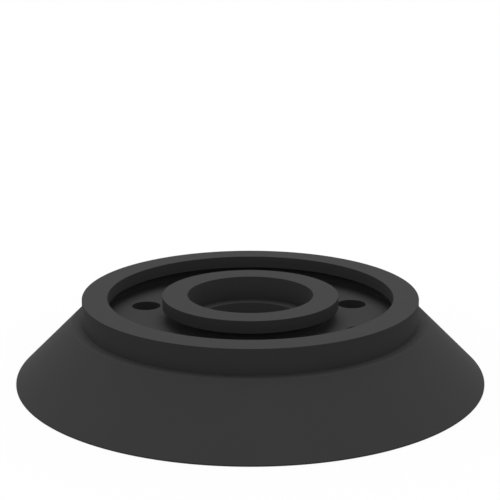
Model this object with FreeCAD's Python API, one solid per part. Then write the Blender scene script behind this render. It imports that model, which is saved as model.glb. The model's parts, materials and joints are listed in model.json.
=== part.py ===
"""Flat vacuum cup: one moulded rubber piece with a conical sealing skirt and an undercut fitting groove.

The cup stands on its sealing lip. The origin is the centre of the lip's plane and +Z is the cup's axis.
All sizes are in millimetres and all angles in degrees.
"""
import FreeCAD, Part
import math
import os

# Sizes across the cup, from the bore outwards
bore_diameter = 30.0      # counterbore that takes the fitting's spigot
ledge_width = 2.5         # ledge at the foot of the counterbore, round the suction hole
neck_wall = 3.0           # wall of the neck between the counterbore and the groove
collar_overhang = 3.0     # how far the collar's flange stands out over the groove
mouth_width = 13.0        # open mouth of the groove, between the collar and the ring
ring_overhang = 3.0       # how far the ring's lip stands in over the groove
ring_wall = 3.0           # wall of the ring outside the groove
shoulder_width = 2.6      # flat step round the ring's foot
skirt_width = 13.4        # sloping face of the skirt, from the step's edge to the lip

# Sizes along the axis, from the lip upwards
lip_edge = 0.3            # height of the lip's outer edge
dish_depth = 9.0          # depth of the hollow under the cup
web_thickness = 4.7       # rubber between the hollow and the groove
groove_height = 3.0       # clear height of the groove under the two overhangs
flange_thickness = 3.0    # collar flange and ring lip

# Inside of the sealing skirt
lip_land = 1.0            # flat ring that meets the workpiece
skirt_root_wall = 4.0     # skirt wall where it leaves the roof of the hollow, measured across
dish_fillet = 3.0         # rounded corner between the roof of the hollow and the skirt

# Blind pockets in the groove's floor and support cleats under the roof, in one pattern
pattern_count = 8
pocket_diameter = 7.0
pocket_floor = 2.0        # rubber left under each pocket
cleat_height = 1.5
cleat_width = 3.0
cleat_inset = 4.5         # bare roof at each end of a cleat

# Heights that follow
roof_z = dish_depth
seat_z = roof_z + web_thickness
overhang_z = seat_z + groove_height
top_z = overhang_z + flange_thickness

# Radii that follow
bore_radius = bore_diameter / 2
suction_radius = bore_radius - ledge_width
neck_radius = bore_radius + neck_wall
collar_radius = neck_radius + collar_overhang
mouth_radius = collar_radius + mouth_width
groove_radius = mouth_radius + ring_overhang
ring_radius = groove_radius + ring_wall
shoulder_radius = ring_radius + shoulder_width
lip_radius = shoulder_radius + skirt_width
pocket_circle_radius = (collar_radius + mouth_radius) / 2

# The hollow's outer corner lies a wall's width inside the skirt's sloping face, at the level of the roof
skirt_run = skirt_width / (seat_z - lip_edge)
dish_radius = shoulder_radius + web_thickness * skirt_run - skirt_root_wall

half_pitch = 180.0 / pattern_count
cup_axis = FreeCAD.Vector(0, 0, 1)


def section_point(radius, height):
    """A point of the half section, which lies in the XZ plane."""
    return FreeCAD.Vector(radius, 0, height)


def corner_arc(before, corner, after, radius):
    """The arc that rounds a corner between two neighbours, as its start, its edge and its end."""
    to_before = (before - corner).normalize()
    to_after = (after - corner).normalize()
    half_angle = to_before.getAngle(to_after) / 2
    setback = radius / math.tan(half_angle)
    start = corner + to_before * setback
    end = corner + to_after * setback
    middle = corner + (to_before + to_after).normalize() * (radius / math.sin(half_angle) - radius)
    return start, Part.Arc(start, middle, end).toShape(), end


def rounded_section(corners):
    """The closed face through (radius, height, rounding) corners, with an arc where the rounding isn't 0."""
    points = [section_point(radius, height) for radius, height, _ in corners]
    starts = list(points)
    ends = list(points)
    arcs = {}
    for index, (_, _, rounding) in enumerate(corners):
        if rounding:
            before = points[index - 1]
            after = points[(index + 1) % len(points)]
            starts[index], arcs[index], ends[index] = corner_arc(before, points[index], after, rounding)
    edges = []
    for index, end in enumerate(ends):
        if index in arcs:
            edges.append(arcs[index])
        edges.append(Part.makeLine(end, starts[(index + 1) % len(points)]))
    return Part.Face(Part.Wire(edges))


def cup_body():
    """The turned form: bore, collar, groove, ring, shoulder, skirt, lip and hollow in one section."""
    section = rounded_section([
        (suction_radius, roof_z, 0),
        (suction_radius, seat_z, 0),
        (bore_radius, seat_z, 0),
        (bore_radius, top_z, 0),
        (collar_radius, top_z, 0),
        (collar_radius, overhang_z, 0),
        (neck_radius, overhang_z, 0),
        (neck_radius, seat_z, 0),
        (groove_radius, seat_z, 0),
        (groove_radius, overhang_z, 0),
        (mouth_radius, overhang_z, 0),
        (mouth_radius, top_z, 0),
        (ring_radius, top_z, 0),
        (ring_radius, seat_z, 0),
        (shoulder_radius, seat_z, 0),
        (lip_radius, lip_edge, 0),
        (lip_radius, 0, 0),
        (lip_radius - lip_land, 0, 0),
        (dish_radius, roof_z, dish_fillet),
    ])
    return section.revolve(section_point(0, 0), cup_axis, 360)


def patterned(shape, first_angle):
    """Copies of a shape all round the axis, the first turned by first_angle."""
    copies = []
    for index in range(pattern_count):
        copy = shape.copy()
        copy.rotate(section_point(0, 0), cup_axis, first_angle + 2 * half_pitch * index)
        copies.append(copy)
    return copies


def pocket():
    """A blind round pocket in the groove's floor, midway across the mouth."""
    floor_z = roof_z + pocket_floor
    foot = section_point(pocket_circle_radius, floor_z)
    return Part.makeCylinder(pocket_diameter / 2, seat_z - floor_z, foot)


def cleat():
    """A radial rib with round ends, which stands down from the roof and is rooted in it."""
    half = cleat_width / 2
    inner = suction_radius + cleat_inset + half
    outer = dish_radius - cleat_inset - half
    foot_z = roof_z - cleat_height

    def at(x, y):
        return FreeCAD.Vector(x, y, foot_z)

    outline = Part.Wire([
        Part.makeLine(at(inner, -half), at(outer, -half)),
        Part.Arc(at(outer, -half), at(outer + half, 0), at(outer, half)).toShape(),
        Part.makeLine(at(outer, half), at(inner, half)),
        Part.Arc(at(inner, half), at(inner - half, 0), at(inner, -half)).toShape(),
    ])
    rooted_height = cleat_height + pocket_floor / 2
    return Part.Face(outline).extrude(cup_axis * rooted_height)


def vacuum_cup():
    """The whole moulding, with its pockets half a pitch round from its cleats."""
    cup = cup_body()
    cup = cup.cut(patterned(pocket(), half_pitch))
    cup = cup.fuse(patterned(cleat(), 0))
    return cup.removeSplitter().Solids[0]


os.makedirs("parts", exist_ok=True)
vacuum_cup().exportStep("parts/vacuum_cup.step")
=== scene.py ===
"""Flat vacuum cup in matt black rubber on a plain studio stage, laid out as a Blender add-on.

The cup stands on its sealing lip. The origin is the centre of the lip's plane and +Z is the cup's axis.
Lengths are in metres and angles in radians.
"""
import json
import math

import bmesh
import bpy
from bpy.props import FloatProperty, FloatVectorProperty, IntProperty, PointerProperty
from mathutils import Matrix, Vector


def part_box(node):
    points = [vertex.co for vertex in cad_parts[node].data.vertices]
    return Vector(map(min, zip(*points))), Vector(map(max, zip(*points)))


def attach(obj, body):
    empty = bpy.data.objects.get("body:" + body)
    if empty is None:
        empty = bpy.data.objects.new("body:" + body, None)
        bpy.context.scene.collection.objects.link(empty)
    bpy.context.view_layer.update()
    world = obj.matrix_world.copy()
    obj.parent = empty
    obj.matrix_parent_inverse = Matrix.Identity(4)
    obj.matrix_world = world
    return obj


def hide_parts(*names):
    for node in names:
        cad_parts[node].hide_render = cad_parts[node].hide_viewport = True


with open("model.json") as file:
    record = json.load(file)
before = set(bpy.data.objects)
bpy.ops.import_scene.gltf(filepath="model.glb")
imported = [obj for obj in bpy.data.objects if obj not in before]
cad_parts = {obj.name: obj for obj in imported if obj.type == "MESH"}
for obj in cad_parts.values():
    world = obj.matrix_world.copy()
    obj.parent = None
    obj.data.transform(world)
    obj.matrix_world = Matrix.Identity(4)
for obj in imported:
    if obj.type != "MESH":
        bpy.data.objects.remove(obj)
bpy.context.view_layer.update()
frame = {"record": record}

bl_info = {
    "name": "Flat Vacuum Cup",
    "version": (1, 0, 0),
    "blender": (4, 5, 0),
    "location": "3D View > Sidebar > Vacuum Cup",
    "description": "Models a moulded rubber vacuum cup and sets it on a plain studio stage",
    "category": "Add Mesh",
}

MM = 0.001
UP = Vector((0, 0, 1))
ORIGIN = Vector((0, 0, 0))

# How the moulding is meshed
WELD = 1e-6               # points closer than this become one
ROUND_STEP = 0.2 * MM     # width of a face across a round
LEAST_ROUND_STEPS = 3     # faces across even the smallest round
MARGIN_IN_FILLETS = 4     # plain floor between a turned wall and the pattern, in corner fillets
MOST_CORNERS = 4          # a face with more corners is split into triangles

# Character of the two noises in the rubber
BLOOM_NOISE = {"Detail": 5, "Roughness": 0.6}
GRAIN_NOISE = {"Detail": 2, "Roughness": 0.5}
NOISE_MIDDLE = 0.5

# Sockets of a Mix node that mixes colours, by their number
MIX_FACTOR = 0
MIX_FIRST = 6
MIX_SECOND = 7
MIX_RESULT = 2

# Light
WHITE = (1, 1, 1, 1)
WHITE_LEVEL = 1           # what the camera sees as plain white
FULL_SUN = math.pi        # strength of a sun lamp that lights a white face to that level

mounts = {mount["name"]: mount for mount in frame["record"]["mounts"]}
cup_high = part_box("vacuum_cup")[1]
seat_level = mounts["locating_pockets"]["pos_m"][2]


def mount_length(name, measure):
    """One of a mount's stated measures, which the record gives in millimetres."""
    return mounts[name]["dims"][measure] * MM


def length(name, description, default):
    """A length that a user can change, in metres."""
    return FloatProperty(name=name, description=description, default=default, min=0, unit="LENGTH",
                         precision=5)


def share(name, description, default):
    """A number from 0 to 1 that a user can change."""
    return FloatProperty(name=name, description=description, default=default, min=0, max=1, subtype="FACTOR")


def angle(name, description, degrees):
    """An angle that a user can change, given here in degrees."""
    return FloatProperty(name=name, description=description, default=math.radians(degrees), subtype="ANGLE")


def amount(name, description, default):
    """A plain number that a user can change."""
    return FloatProperty(name=name, description=description, default=default, min=0)


def count(name, description, default, least):
    """A whole number that a user can change."""
    return IntProperty(name=name, description=description, default=default, min=least)


def colour(name, description, default):
    """A linear colour that a user can change."""
    return FloatVectorProperty(name=name, description=description, default=default, size=3, min=0, max=1,
                               subtype="COLOR")


class CupSizes(bpy.types.PropertyGroup):
    """Sizes of the moulding, from the axis outwards and from the lip upwards"""

    suction_radius: length("Suction hole", "Radius of the hole into the hollow",
                           mount_length("suction_hole", "r_mm"))
    bore_radius: length("Bore", "Radius of the bore that takes the spigot",
                        mount_length("fitting_bore", "r_mm"))
    neck_radius: length("Neck", "Radius of the neck under the collar", 18 * MM)
    collar_radius: length("Collar", "Radius of the collar's flange", mount_length("collar", "r_mm"))
    mouth_radius: length("Mouth", "Radius of the groove's open mouth", 34 * MM)
    groove_radius: length("Groove", "Radius of the groove under the ring's lip", 37 * MM)
    ring_radius: length("Ring", "Radius of the ring's outer wall", 40 * MM)
    shoulder_radius: length("Shoulder", "Radius of the flat step round the ring's foot", 42.6 * MM)
    lip_radius: length("Lip", "Radius of the sealing lip", cup_high.x)

    lip_edge: length("Lip edge", "Height of the lip's outer edge", 0.3 * MM)
    roof_height: length("Roof", "Height of the roof of the hollow",
                        seat_level - mount_length("suction_hole", "length_mm"))
    seat_height: length("Seat", "Height of the groove's floor", seat_level)
    overhang_height: length("Overhangs", "Height of the undersides of collar and ring",
                            cup_high.z - mount_length("collar", "length_mm"))
    top_height: length("Top", "Height of the collar and the ring", cup_high.z)

    lip_land: length("Lip land", "Width of the flat ring that meets the workpiece", 1 * MM)
    skirt_root: length("Skirt root", "Skirt wall where it leaves the roof, measured across", 4 * MM)

    pattern_count: count("Pattern", "Number of pockets, and of cleats",
                         mounts["locating_pockets"]["dims"]["count"], 3)
    pocket_circle: length("Pocket circle", "Diameter of the circle that the pockets lie on",
                          mount_length("locating_pockets", "pcd_mm"))
    pocket_radius: length("Pocket", "Radius of a pocket", mount_length("locating_pockets", "hole_r_mm"))
    pocket_floor: length("Pocket floor", "Rubber left under a pocket", 2 * MM)
    cleat_height: length("Cleat height", "How far a cleat stands down from the roof", 1.5 * MM)
    cleat_width: length("Cleat width", "Width of a cleat", 3 * MM)
    cleat_inset: length("Cleat inset", "Bare roof at each end of a cleat", 4.5 * MM)

    edge_round: length("Edge round", "Round on the moulding's edges, which are nearly sharp", 0.05 * MM)
    corner_fillet: length("Corner fillet", "Fillet in the corners of the groove and the pockets", 0.3 * MM)
    dish_fillet: length("Hollow fillet", "Fillet between the roof and the skirt", 3 * MM)

    steps_round: count("Steps round", "Faces round the cup for each pocket", 32, 4)
    steps_across: count("Steps across", "Faces across the floor between two pockets", 16, 2)

    @property
    def pitch(self):
        """Angle from one pocket to the next."""
        return math.tau / self.pattern_count

    @property
    def margin(self):
        """Plain floor between a turned wall and the pattern."""
        return MARGIN_IN_FILLETS * self.corner_fillet

    @property
    def web(self):
        """Rubber between the hollow and the groove."""
        return self.seat_height - self.roof_height

    @property
    def dish_radius(self):
        """Radius of the hollow's outer corner, a wall's width inside the skirt at the level of the roof."""
        skirt_run = (self.lip_radius - self.shoulder_radius) / (self.seat_height - self.lip_edge)
        return self.shoulder_radius + self.web * skirt_run - self.skirt_root

    @property
    def dish_setback(self):
        """How far back from that corner its fillet starts."""
        inner_slope = math.atan2(self.roof_height, self.lip_radius - self.lip_land - self.dish_radius)
        return self.dish_fillet * math.tan(inner_slope / 2)


class RubberFinish(bpy.types.PropertyGroup):
    """Look of the moulded black rubber"""

    dark: colour("Dark", "Rubber as it leaves the mould", (0.0485, 0.0485, 0.0495))
    bloomed: colour("Bloomed", "Rubber with a faint bloom on it", (0.054, 0.054, 0.054))
    gloss: share("Gloss", "Strength of the rubber's own shine", 0.05)
    roughness: share("Roughness", "Roughness of the moulded skin", 0.8)
    roughness_spread: share("Roughness spread", "How far the roughness varies with the bloom", 0.08)
    bloom_size: length("Bloom size", "Width of the patches of bloom", 14 * MM)
    grain_size: length("Grain size", "Width of the grain that the mould leaves", 0.35 * MM)
    grain_depth: length("Grain depth", "Depth of that grain", 0.006 * MM)


class StageSettings(bpy.types.PropertyGroup):
    """Camera, light and floor"""

    camera_back: length("Camera back", "Level distance from the cup's axis to the camera", 310.952 * MM)
    camera_height: length("Camera height", "Height of the camera over the floor", 113.667 * MM)
    camera_aside: length("Camera aside", "How far the camera stands left of the axis", 0.079 * MM)
    camera_tilt: angle("Camera tilt", "How far the camera looks down", 14.9637)
    camera_turn: angle("Camera turn", "Turn of the camera about the cup's axis", -1.62)
    camera_lens: length("Lens", "Focal length", 97.9 * MM)
    sky: amount("Sky", "Level of the even light from all sides", 0.57)
    softbox: amount("Softbox", "Level of the wide overhead light", 0.46)
    softbox_width: angle("Softbox width", "How wide the overhead light looks from the cup", 40)
    softbox_tilt: angle("Softbox tilt", "How far the overhead light leans from upright", 20)
    softbox_bearing: angle("Softbox bearing", "Side that the overhead light leans to, from +X", 90)
    floor_width: length("Floor width", "Width of the floor", 6)
    floor_shadow: share("Floor shadow", "How strongly the floor shows the shadow", 0.2)
    floor_glow: amount("Floor glow", "Level of the light that comes up through the floor", 0.29)


class Shade:
    """A socket of a node tree. Arithmetic on it adds Math nodes, and make() adds any other node."""

    def __init__(self, tree, socket=None):
        self.tree = tree
        self.socket = socket

    def make(self, kind, settings=None, inputs=None, output=0):
        """One output of a new node, whose settings are set before its sockets take their values or links."""
        node = self.tree.nodes.new(kind)
        for name, value in (settings or {}).items():
            setattr(node, name, value)
        for name, value in (inputs or {}).items():
            if isinstance(value, Shade):
                self.tree.links.new(value.socket, node.inputs[name])
            else:
                node.inputs[name].default_value = value
        return Shade(self.tree, node.outputs[output])

    def beside(self, output):
        """Another output of the same node."""
        return Shade(self.tree, self.socket.node.outputs[output])

    def calculate(self, operation, first, second):
        """The result of a new Math node."""
        return self.make("ShaderNodeMath", {"operation": operation}, {0: first, 1: second})

    def __add__(self, other):
        return self.calculate("ADD", self, other)

    def __radd__(self, other):
        return self.calculate("ADD", other, self)

    def __sub__(self, other):
        return self.calculate("SUBTRACT", self, other)

    def __rsub__(self, other):
        return self.calculate("SUBTRACT", other, self)

    def __mul__(self, other):
        return self.calculate("MULTIPLY", self, other)

    def __rmul__(self, other):
        return self.calculate("MULTIPLY", other, self)

    def reach(self, kind):
        """Links this shader to a new output node of that kind."""
        output = self.tree.nodes.new(kind)
        self.tree.links.new(self.socket, output.inputs["Surface"])


def cleared(owner):
    """A wrapper for the emptied node tree of a material or world."""
    owner.use_nodes = True
    owner.node_tree.nodes.clear()
    return Shade(owner.node_tree)


def placed(scene, name, data):
    """A new object in the scene, at the origin."""
    thing = bpy.data.objects.new(name, data)
    scene.collection.objects.link(thing)
    return thing


def opaque(rgb):
    """A colour with full alpha, as a node's socket takes it."""
    return (*rgb, 1)


def noise(tree, place, width, character):
    """Noise whose largest patches are about that wide."""
    return tree.make("ShaderNodeTexNoise", inputs={"Vector": place, "Scale": 1 / width, **character})


def black_rubber(finish):
    """Matt black rubber: faint patches of bloom, and the fine grain of the mould."""
    material = bpy.data.materials.new("black_rubber")
    tree = cleared(material)
    place = tree.make("ShaderNodeTexCoord", output="Object")
    bloom = noise(tree, place, finish.bloom_size, BLOOM_NOISE)
    grain = noise(tree, place, finish.grain_size, GRAIN_NOISE)
    skin = tree.make("ShaderNodeMix", {"data_type": "RGBA"}, {
        MIX_FACTOR: bloom,
        MIX_FIRST: opaque(finish.dark),
        MIX_SECOND: opaque(finish.bloomed),
    }, output=MIX_RESULT)
    relief = tree.make("ShaderNodeBump", inputs={"Height": grain, "Distance": finish.grain_depth})
    tree.make("ShaderNodeBsdfPrincipled", inputs={
        "Base Color": skin,
        "Roughness": finish.roughness + (bloom - NOISE_MIDDLE) * finish.roughness_spread,
        "Specular IOR Level": finish.gloss,
        "Normal": relief,
    }).reach("ShaderNodeOutputMaterial")
    return material


def ease(bm, geom, setback, kind):
    """Rounds corners of a wire, or edges of a mesh, that far back from each corner."""
    steps = max(LEAST_ROUND_STEPS, round(setback / ROUND_STEP))
    bmesh.ops.bevel(bm, geom=geom, offset=setback, offset_type="OFFSET", segments=steps, profile=0.5,
                    affect=kind, material=-1, clamp_overlap=False)


def loose_edges(bm):
    """The edges that carry no face yet."""
    return [edge for edge in bm.edges if edge.is_wire]


def section_wire(bm, corners):
    """An open wire in the XZ plane through (radius, height, setback) corners, each rounded by its setback."""
    verts = [bm.verts.new((radius, 0, height)) for radius, height, _ in corners]
    for pair in zip(verts, verts[1:]):
        bm.edges.new(pair)
    for vert, (_, _, setback) in zip(verts, corners):
        if setback:
            ease(bm, [vert], setback, "VERTICES")


def sector_border(bm, sizes, inner_radius, outer_radius, height):
    """The edges round one pitch of a flat ring, which is centred on +X."""
    to_start = Matrix.Rotation(-sizes.pitch / 2, 3, "Z")
    starts = []
    ends = []
    for radius in (inner_radius, outer_radius):
        start = bm.verts.new(to_start @ Vector((radius, 0, height)))
        arc = bmesh.ops.spin(bm, geom=[start], cent=ORIGIN, axis=UP, angle=sizes.pitch,
                             steps=sizes.steps_round)
        starts.append(start)
        ends.extend(arc["geom_last"])
    sides = [bm.edges.new(starts), bm.edges.new(ends)]
    bmesh.ops.subdivide_edges(bm, edges=sides, cuts=sizes.steps_across - 1)
    return loose_edges(bm)


def round_outline(bm, points, centre, radius):
    """The points of a loose circle, none of which lies on its X and Y axes."""
    half_step = Matrix.Rotation(math.pi / points, 4, "Z")
    place = Matrix.Translation(centre) @ half_step
    return bmesh.ops.create_circle(bm, segments=points, radius=radius, matrix=place)["verts"]


def slot_outline(bm, sizes, centre, radius, straight):
    """A loose outline with round ends and two straight sides along X, made of as many edges as a border."""
    verts = round_outline(bm, 2 * (sizes.steps_round + 1), centre, radius)
    for side in (-1, 1):
        end = [vert for vert in verts if side * (vert.co.x - centre.x) > 0]
        bmesh.ops.translate(bm, verts=end, vec=(side * straight / 2, 0, 0))
    sides = [edge for edge in loose_edges(bm) if edge.calc_length() > straight / 2]
    bmesh.ops.subdivide_edges(bm, edges=sides, cuts=sizes.steps_across - 1)


def raise_outline(bm, border, rise, rim_round, root_fillet):
    """Fills a border round to the loose outline inside it, and lifts that outline on a wall of its own."""
    root = [edge for edge in loose_edges(bm) if edge not in border]
    bmesh.ops.bridge_loops(bm, edges=border + root)
    walls = bmesh.ops.extrude_edge_only(bm, edges=root)["geom"]
    far_verts = [item for item in walls if isinstance(item, bmesh.types.BMVert)]
    bmesh.ops.translate(bm, verts=far_verts, vec=(0, 0, rise))
    rim = [edge for edge in bm.edges if edge.is_boundary and set(edge.verts) <= set(far_verts)]
    bmesh.ops.edgeloop_fill(bm, edges=rim)
    ease(bm, rim, rim_round, "EDGES")
    ease(bm, root, root_fillet, "EDGES")
    flats = [face for face in bm.faces if len(face.verts) > MOST_CORNERS]
    bmesh.ops.triangulate(bm, faces=flats, quad_method="BEAUTY", ngon_method="BEAUTY")


def pocket_sector(bm, sizes):
    """One pitch of the groove's floor, with a pocket sunk in its middle."""
    border = sector_border(bm, sizes, sizes.neck_radius + sizes.margin, sizes.groove_radius - sizes.margin,
                           sizes.seat_height)
    centre = Vector((sizes.pocket_circle / 2, 0, sizes.seat_height))
    round_outline(bm, len(border), centre, sizes.pocket_radius)
    raise_outline(bm, border, sizes.pocket_floor - sizes.web, sizes.corner_fillet, sizes.edge_round)


def cleat_sector(bm, sizes):
    """One pitch of the roof of the hollow, with a cleat standing down from it."""
    border = sector_border(bm, sizes, sizes.suction_radius + sizes.margin,
                           sizes.dish_radius - sizes.dish_setback - sizes.margin, sizes.roof_height)
    start = sizes.suction_radius + sizes.cleat_inset
    end = sizes.dish_radius - sizes.cleat_inset
    centre = Vector(((start + end) / 2, 0, sizes.roof_height))
    slot_outline(bm, sizes, centre, sizes.cleat_width / 2, end - start - sizes.cleat_width)
    raise_outline(bm, border, -sizes.cleat_height, sizes.edge_round, sizes.corner_fillet)


def bore_section(sizes):
    """Corners from the roof of the hollow up the bore, over the collar and down to the groove's floor."""
    return [
        (sizes.suction_radius + sizes.margin, sizes.roof_height, 0),
        (sizes.suction_radius, sizes.roof_height, sizes.edge_round),
        (sizes.suction_radius, sizes.seat_height, sizes.edge_round),
        (sizes.bore_radius, sizes.seat_height, sizes.edge_round),
        (sizes.bore_radius, sizes.top_height, sizes.edge_round),
        (sizes.collar_radius, sizes.top_height, sizes.edge_round),
        (sizes.collar_radius, sizes.overhang_height, sizes.edge_round),
        (sizes.neck_radius, sizes.overhang_height, sizes.corner_fillet),
        (sizes.neck_radius, sizes.seat_height, sizes.corner_fillet),
        (sizes.neck_radius + sizes.margin, sizes.seat_height, 0),
    ]


def ring_section(sizes):
    """Corners from the groove's floor over the ring, down the skirt and back inside it to the roof."""
    return [
        (sizes.groove_radius - sizes.margin, sizes.seat_height, 0),
        (sizes.groove_radius, sizes.seat_height, sizes.corner_fillet),
        (sizes.groove_radius, sizes.overhang_height, sizes.corner_fillet),
        (sizes.mouth_radius, sizes.overhang_height, sizes.edge_round),
        (sizes.mouth_radius, sizes.top_height, sizes.edge_round),
        (sizes.ring_radius, sizes.top_height, sizes.edge_round),
        (sizes.ring_radius, sizes.seat_height, sizes.edge_round),
        (sizes.shoulder_radius, sizes.seat_height, sizes.edge_round),
        (sizes.lip_radius, sizes.lip_edge, sizes.edge_round),
        (sizes.lip_radius, 0, sizes.edge_round),
        (sizes.lip_radius - sizes.lip_land, 0, sizes.edge_round),
        (sizes.dish_radius, sizes.roof_height, sizes.dish_setback),
        (sizes.dish_radius - sizes.dish_setback - sizes.margin, sizes.roof_height, 0),
    ]


def cup_mesh(sizes):
    """The whole moulding as one closed mesh, with its pockets half a pitch round from its cleats."""
    bm = bmesh.new()
    pocket_sector(bm, sizes)
    half_pitch = Matrix.Rotation(sizes.pitch / 2, 3, "Z")
    bmesh.ops.rotate(bm, verts=bm.verts, cent=ORIGIN, matrix=half_pitch)
    cleat_sector(bm, sizes)
    sectors = bm.verts[:] + bm.edges[:] + bm.faces[:]
    bmesh.ops.spin(bm, geom=sectors, cent=ORIGIN, axis=UP, angle=math.tau - sizes.pitch,
                   steps=sizes.pattern_count - 1, use_duplicate=True)

    section_wire(bm, bore_section(sizes))
    section_wire(bm, ring_section(sizes))
    wires = [vert for vert in bm.verts if vert.is_wire] + loose_edges(bm)
    bmesh.ops.spin(bm, geom=wires, cent=ORIGIN, axis=UP, angle=math.tau,
                   steps=sizes.pattern_count * sizes.steps_round, use_merge=True)
    bmesh.ops.remove_doubles(bm, verts=bm.verts, dist=WELD)
    bmesh.ops.recalc_face_normals(bm, faces=bm.faces)
    for face in bm.faces:
        face.smooth = True
    if any(not edge.is_manifold for edge in bm.edges):
        raise RuntimeError("the moulding isn't closed")

    mesh = bpy.data.meshes.new("rubber_cup")
    bm.to_mesh(mesh)
    bm.free()
    return mesh


class MouldCup(bpy.types.Operator):
    """Model the rubber cup in place of its plain solid"""

    bl_idname = "vacuum_cup.mould"
    bl_label = "Mould Cup"

    def execute(self, context):
        scene = context.scene
        cup = placed(scene, "rubber_cup", cup_mesh(scene.cup_sizes))
        cup.data.materials.append(black_rubber(scene.rubber_finish))
        cup.modifiers.new("even_flats", "WEIGHTED_NORMAL")
        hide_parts("vacuum_cup")
        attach(cup, "root")
        return {"FINISHED"}


def looked_at(tree):
    """1 for what the camera sees, straight or in a gloss or glass, and 0 for light that falls on the cup."""
    rays = tree.make("ShaderNodeLightPath", output="Is Camera Ray")
    return rays + rays.beside("Is Glossy Ray") + rays.beside("Is Transmission Ray")


def white_light(tree, kind, level):
    """A Background or Emission shader of plain white light at that level."""
    return tree.make(kind, inputs={"Color": WHITE, "Strength": level})


def mixed(tree, factor, first, second):
    """The first shader where the factor is 0, and the second where it is 1."""
    return tree.make("ShaderNodeMixShader", inputs={0: factor, 1: first, 2: second})


def studio_sky(stage):
    """Even light from all sides, which the camera sees as white."""
    world = bpy.data.worlds.new("studio_sky")
    tree = cleared(world)
    lit = white_light(tree, "ShaderNodeBackground", stage.sky)
    seen = white_light(tree, "ShaderNodeBackground", WHITE_LEVEL)
    mixed(tree, looked_at(tree), lit, seen).reach("ShaderNodeOutputWorld")
    return world


def pale_floor(stage):
    """White light table: it glows faintly on to the cup, shows a soft shadow and is clear from below."""
    material = bpy.data.materials.new("pale_floor")
    tree = cleared(material)
    glow = white_light(tree, "ShaderNodeEmission", stage.floor_glow)
    white = white_light(tree, "ShaderNodeEmission", WHITE_LEVEL)
    shadowed = tree.make("ShaderNodeBsdfDiffuse", inputs={"Color": WHITE})
    shown = mixed(tree, stage.floor_shadow, white, shadowed)
    above = mixed(tree, looked_at(tree), glow, shown)
    below = tree.make("ShaderNodeNewGeometry", output="Backfacing")
    clear = tree.make("ShaderNodeBsdfTransparent")
    mixed(tree, below, above, clear).reach("ShaderNodeOutputMaterial")
    return material


def lay_floor(scene, stage):
    """A wide level floor under the cup, which isn't part of it."""
    bm = bmesh.new()
    bmesh.ops.create_grid(bm, x_segments=1, y_segments=1, size=stage.floor_width / 2)
    mesh = bpy.data.meshes.new("floor")
    bm.to_mesh(mesh)
    bm.free()
    mesh.materials.append(pale_floor(stage))
    floor = placed(scene, "floor", mesh)


def hang_softbox(scene, stage):
    """A wide soft light overhead that leans to one side."""
    lamp = bpy.data.lights.new("softbox", "SUN")
    lamp.angle = stage.softbox_width
    lamp.energy = FULL_SUN * stage.softbox
    softbox = placed(scene, "softbox", lamp)
    softbox.rotation_euler = (0, stage.softbox_tilt, stage.softbox_bearing)


def place_camera(scene, stage):
    """The camera in front of the cup, looking a little down on it."""
    lens = bpy.data.cameras.new("camera")
    lens.lens = stage.camera_lens / MM
    camera = placed(scene, "camera", lens)
    turn = Matrix.Rotation(stage.camera_turn, 3, "Z")
    camera.location = turn @ Vector((-stage.camera_aside, -stage.camera_back, stage.camera_height))
    camera.rotation_euler = (math.pi / 2 - stage.camera_tilt, 0, stage.camera_turn)
    scene.camera = camera


class SetStage(bpy.types.Operator):
    """Lay the floor, set the light and place the camera"""

    bl_idname = "vacuum_cup.set_stage"
    bl_label = "Set Stage"

    def execute(self, context):
        scene = context.scene
        stage = scene.cup_stage
        scene.view_settings.view_transform = "Standard"
        scene.world = studio_sky(stage)
        lay_floor(scene, stage)
        hang_softbox(scene, stage)
        place_camera(scene, stage)
        return {"FINISHED"}


class CupPanel(bpy.types.Panel):
    """Sidebar panel with the sizes, the finish, the stage and the steps"""

    bl_idname = "VIEW3D_PT_vacuum_cup"
    bl_label = "Vacuum Cup"
    bl_space_type = "VIEW_3D"
    bl_region_type = "UI"
    bl_category = "Vacuum Cup"

    def draw(self, context):
        scene = context.scene
        steps = (
            ((scene.cup_sizes, scene.rubber_finish), MouldCup),
            ((scene.cup_stage,), SetStage),
        )
        for groups, operator in steps:
            column = self.layout.column()
            for settings in groups:
                for name in settings.__annotations__:
                    column.prop(settings, name)
            column.operator(operator.bl_idname)


CLASSES = (CupSizes, RubberFinish, StageSettings, MouldCup, SetStage, CupPanel)


def register():
    """Adds the classes, and the settings to the scene."""
    for cls in CLASSES:
        bpy.utils.register_class(cls)
    bpy.types.Scene.cup_sizes = PointerProperty(type=CupSizes)
    bpy.types.Scene.rubber_finish = PointerProperty(type=RubberFinish)
    bpy.types.Scene.cup_stage = PointerProperty(type=StageSettings)


def unregister():
    """Takes the settings and the classes out again."""
    del bpy.types.Scene.cup_stage
    del bpy.types.Scene.rubber_finish
    del bpy.types.Scene.cup_sizes
    for cls in reversed(CLASSES):
        bpy.utils.unregister_class(cls)


def main():
    """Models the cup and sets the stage."""
    register()
    bpy.ops.vacuum_cup.mould()
    bpy.ops.vacuum_cup.set_stage()


if __name__ == "__main__":
    main()
